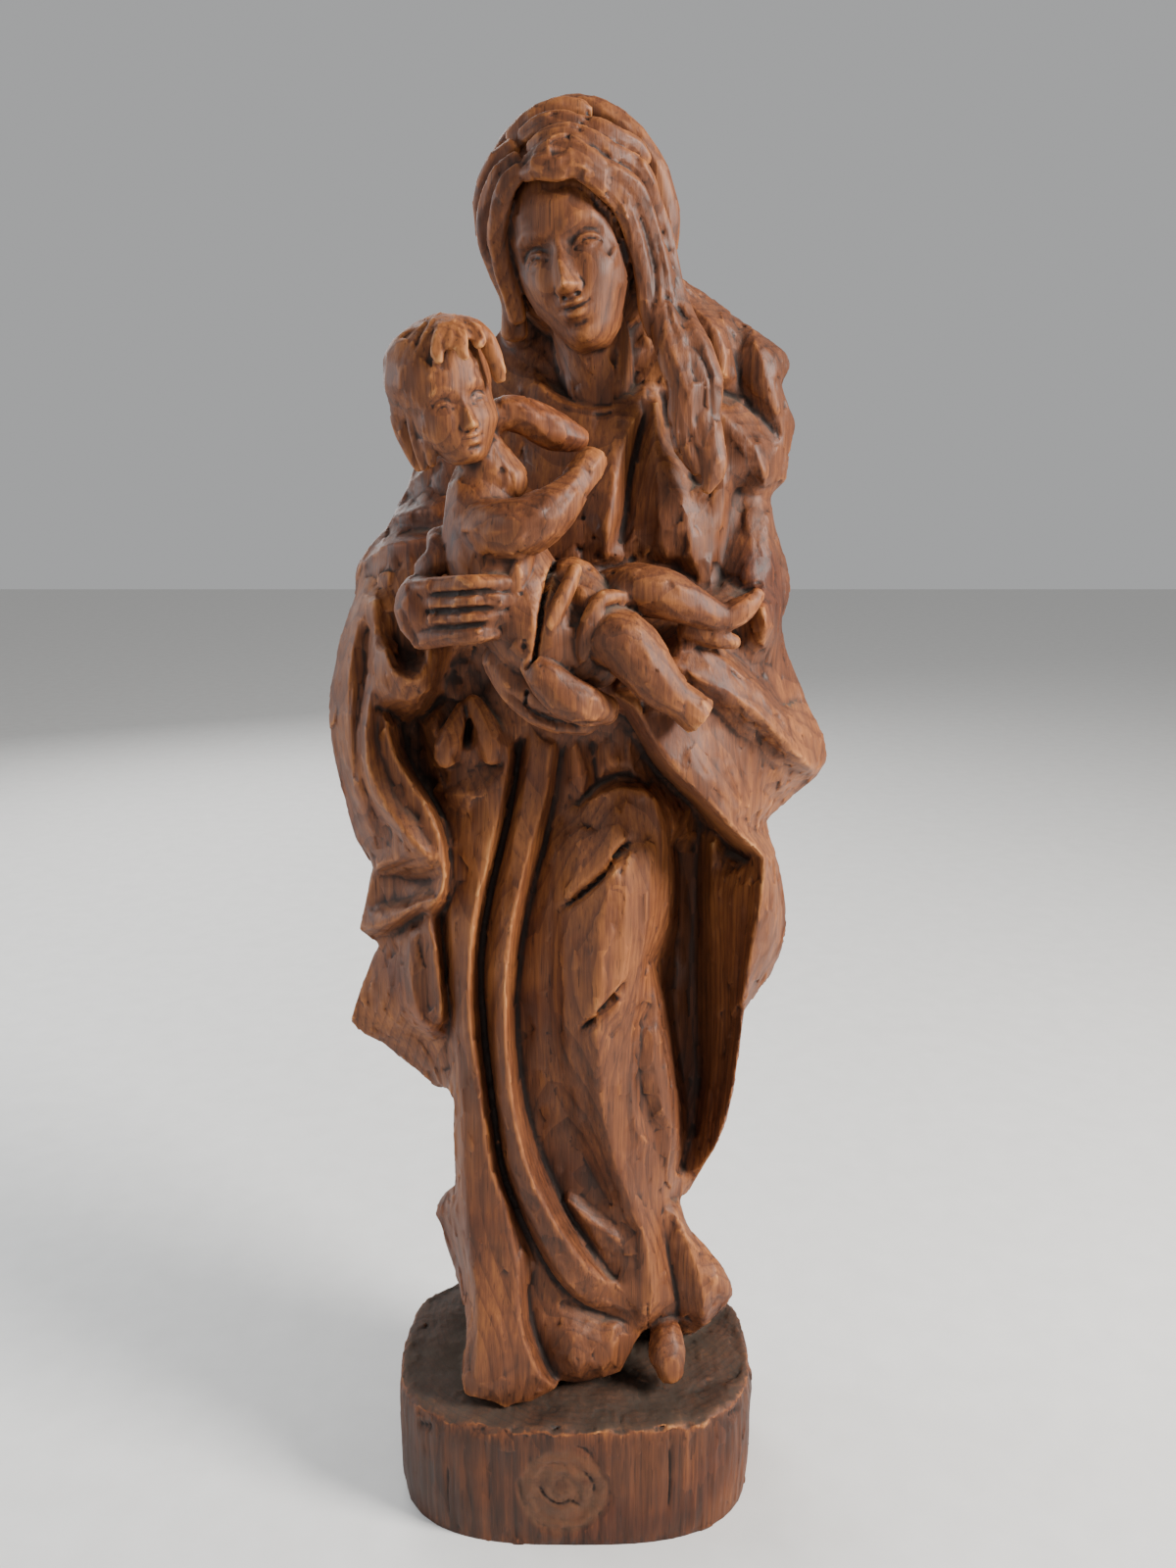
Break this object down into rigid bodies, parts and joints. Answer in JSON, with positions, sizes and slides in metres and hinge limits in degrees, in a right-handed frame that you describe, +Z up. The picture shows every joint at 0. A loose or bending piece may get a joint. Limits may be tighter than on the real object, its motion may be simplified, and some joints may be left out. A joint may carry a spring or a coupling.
{
  "type": "carved wooden statue",
  "caption": "Standing carved wooden Virgin holding the Child on one arm, on a log plinth, all one piece; a display statue that rests on its flat underside.",
  "frame": {"origin": "centre of the plinth's flat underside", "axes": "+Z up along the figure, -Y the way the figure faces, +X towards the figure's left hand"},
  "size_m": [0.1787, 0.1159, 0.4997],
  "materials": {
    "wood": "stained brown and waxed, semi-gloss, worn lighter on the raised edges"
  },
  "bodies": {
    "root": {"virgin_and_child": "wood"}
  },
  "joints": []
}
